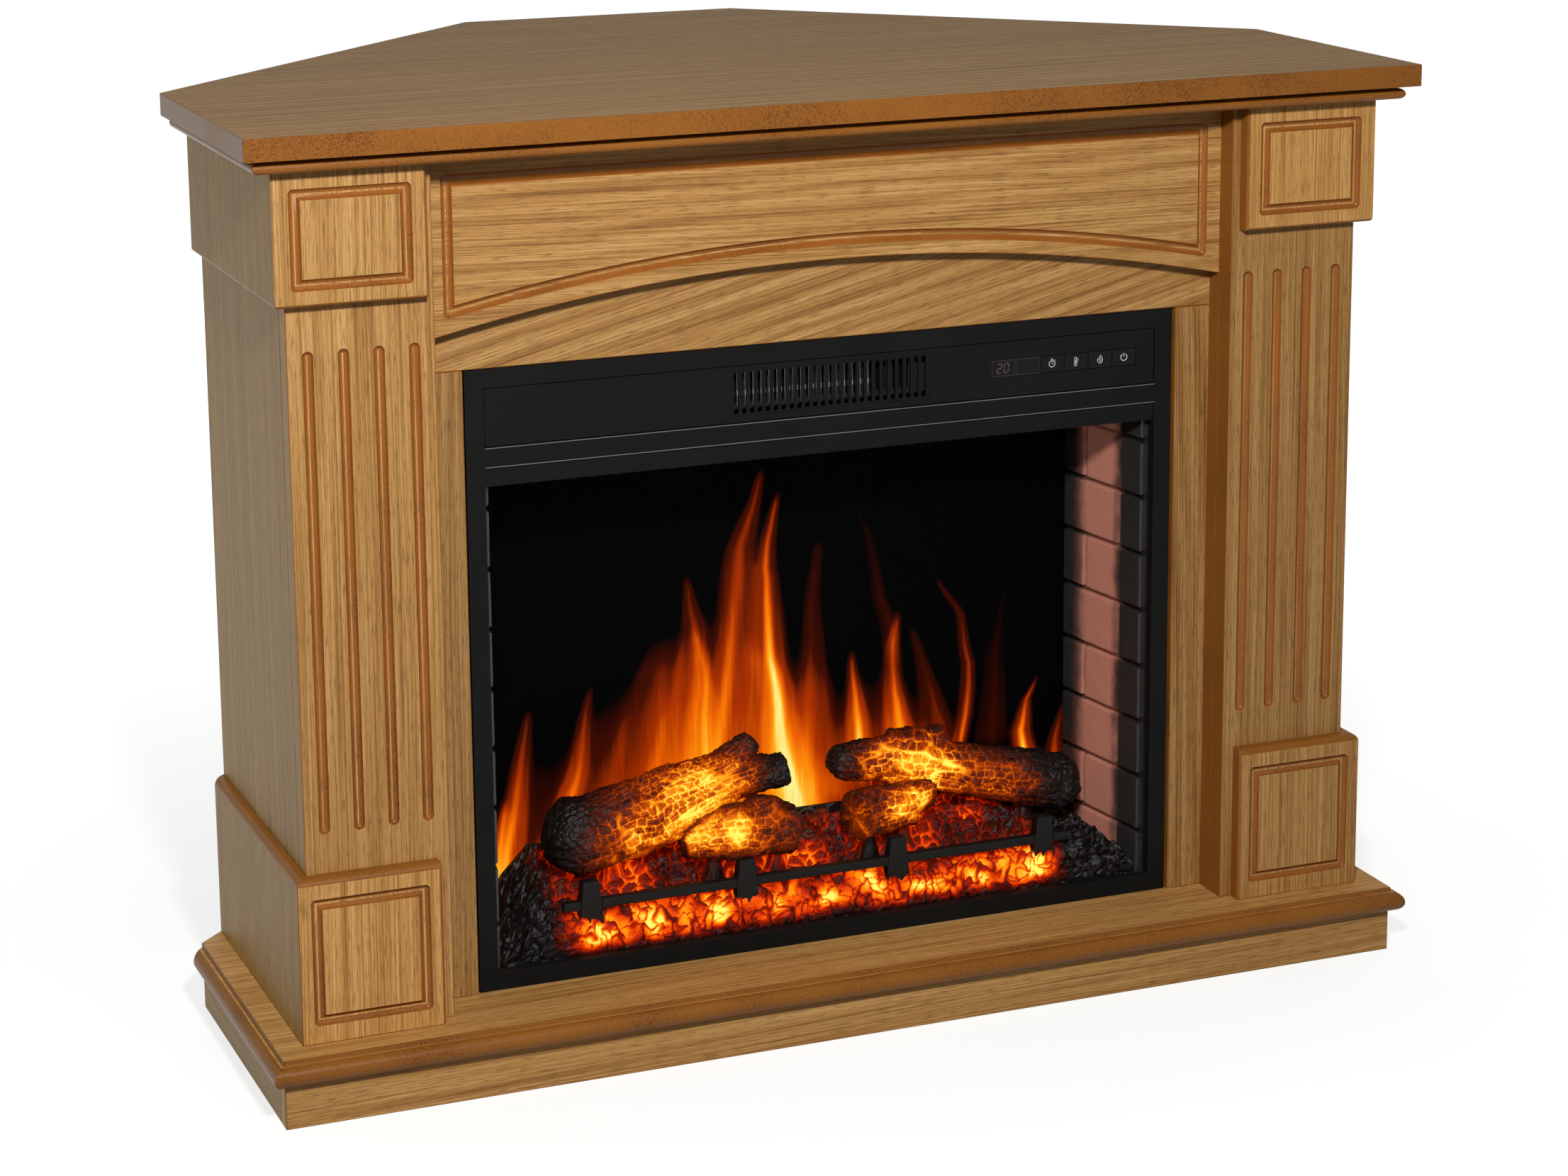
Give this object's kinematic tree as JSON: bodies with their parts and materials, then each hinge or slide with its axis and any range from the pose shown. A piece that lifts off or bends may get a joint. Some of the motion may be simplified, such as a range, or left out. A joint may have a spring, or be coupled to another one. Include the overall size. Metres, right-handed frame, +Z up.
{
  "type": "corner fireplace",
  "caption": "Corner fireplace: a veneered mantel with fluted pilasters, arched frieze and angled back round a black electric fire with logs, heater and keys.",
  "frame": {"origin": "on the floor, under the middle of the mantel's bounding box", "axes": "+Z up, +X to the right seen from the front, the front faces -Y and the corner of the room is at +Y"},
  "size_m": [1.154, 0.743, 0.892],
  "materials": {
    "veneer": "satin lacquered straight-grained veneer on board, mid honey brown",
    "lacquered_mdf": "brown lacquered MDF moulding, semi-gloss",
    "raw_mdf": "plain board, matt",
    "pine": "planed softwood, matt",
    "black_steel": "fine-textured black powder coat",
    "zinc_steel": "zinc-plated sheet steel, satin",
    "aluminium_fins": "mill finish ribs",
    "steel_parts": "grey coated steel",
    "bright_tabs": "bright metal tabs",
    "smoked_acrylic": "dark red-black clear window",
    "key_plastic": "satin black keys with plain white symbols",
    "circuit": "green circuit board",
    "clear_glass": "clear flat glass",
    "screen_acrylic": "dark screen that shows the moving flames",
    "brick_lining": "moulded fibre brickwork, dark with a warm band of light",
    "ember_resin": "moulded ember bed, lit from below, charcoal black to orange",
    "log_resin": "moulded logs with cracked char and glowing cracks",
    "black_plastic": "satin black moulded grate and gland"
  },
  "bodies": {
    "mantel": {"top_slab": "veneer", "crown_front": "lacquered_mdf", "crown_left": "lacquered_mdf", "crown_right": "lacquered_mdf", "frieze_board": "veneer", "arch_board": "veneer", "left_stile": "veneer", "right_stile": "veneer", "left_pilaster": "veneer", "right_pilaster": "veneer", "left_backing_board": "lacquered_mdf", "right_backing_board": "lacquered_mdf", "left_capital_front": "veneer", "left_capital_side": "veneer", "right_capital_front": "veneer", "right_capital_side": "veneer", "left_pedestal_front": "veneer", "left_pedestal_side": "veneer", "right_pedestal_front": "veneer", "right_pedestal_side": "veneer", "left_side_panel": "veneer", "right_side_panel": "veneer", "hearth_shelf": "veneer", "plinth_front": "veneer", "plinth_left": "veneer", "plinth_right": "veneer", "plinth_rear": "raw_mdf", "rear_panel": "raw_mdf", "left_rear_rail": "raw_mdf", "right_rear_rail": "raw_mdf", "glue_blocks": "pine", "fixing_brackets": "zinc_steel", "fire_case": "black_steel", "trim_frame": "black_steel", "control_fascia": "black_steel", "air_grille": "black_steel", "display_window": "smoked_acrylic", "circuit_board": "circuit", "heater_duct": "zinc_steel", "heater_element": "aluminium_fins", "blower_motor": "steel_parts", "front_glass": "clear_glass", "flame_screen": "screen_acrylic", "left_brick_panel": "brick_lining", "right_brick_panel": "brick_lining", "ember_bed": "ember_resin", "left_log": "log_resin", "right_log": "log_resin", "left_branch": "log_resin", "right_branch": "log_resin", "fire_grate": "black_plastic", "rotor_motor": "steel_parts", "rear_cover": "zinc_steel", "cord_inlet": "black_plastic"},
    "timer_button": {"timer_button": "key_plastic"},
    "heat_button": {"heat_button": "key_plastic"},
    "flame_button": {"flame_button": "key_plastic"},
    "power_button": {"power_button": "key_plastic"},
    "blower_wheel": {"blower_wheel": "steel_parts"},
    "flame_rotor": {"flame_rotor": "bright_tabs"}
  },
  "joints": [
    {"name": "timer_press", "type": "slide", "parent": "mantel", "child": "timer_button", "axis": [0, 1, 0], "range_m": [0, 0.0008], "stiffness_N_per_m": 400, "springref_m": -0.001},
    {"name": "heat_press", "type": "slide", "parent": "mantel", "child": "heat_button", "axis": [0, 1, 0], "range_m": [0, 0.0008], "stiffness_N_per_m": 400, "springref_m": -0.001},
    {"name": "flame_press", "type": "slide", "parent": "mantel", "child": "flame_button", "axis": [0, 1, 0], "range_m": [0, 0.0008], "stiffness_N_per_m": 400, "springref_m": -0.001},
    {"name": "power_press", "type": "slide", "parent": "mantel", "child": "power_button", "axis": [0, 1, 0], "range_m": [0, 0.0008], "stiffness_N_per_m": 400, "springref_m": -0.001},
    {"name": "blower_spin", "type": "hinge", "parent": "mantel", "child": "blower_wheel", "pos_m": [0, -0.1805, 0.6125], "axis": [1, 0, 0], "continuous": true},
    {"name": "rotor_spin", "type": "hinge", "parent": "mantel", "child": "flame_rotor", "pos_m": [0, -0.0805, 0.15], "axis": [1, 0, 0], "continuous": true}
  ]
}
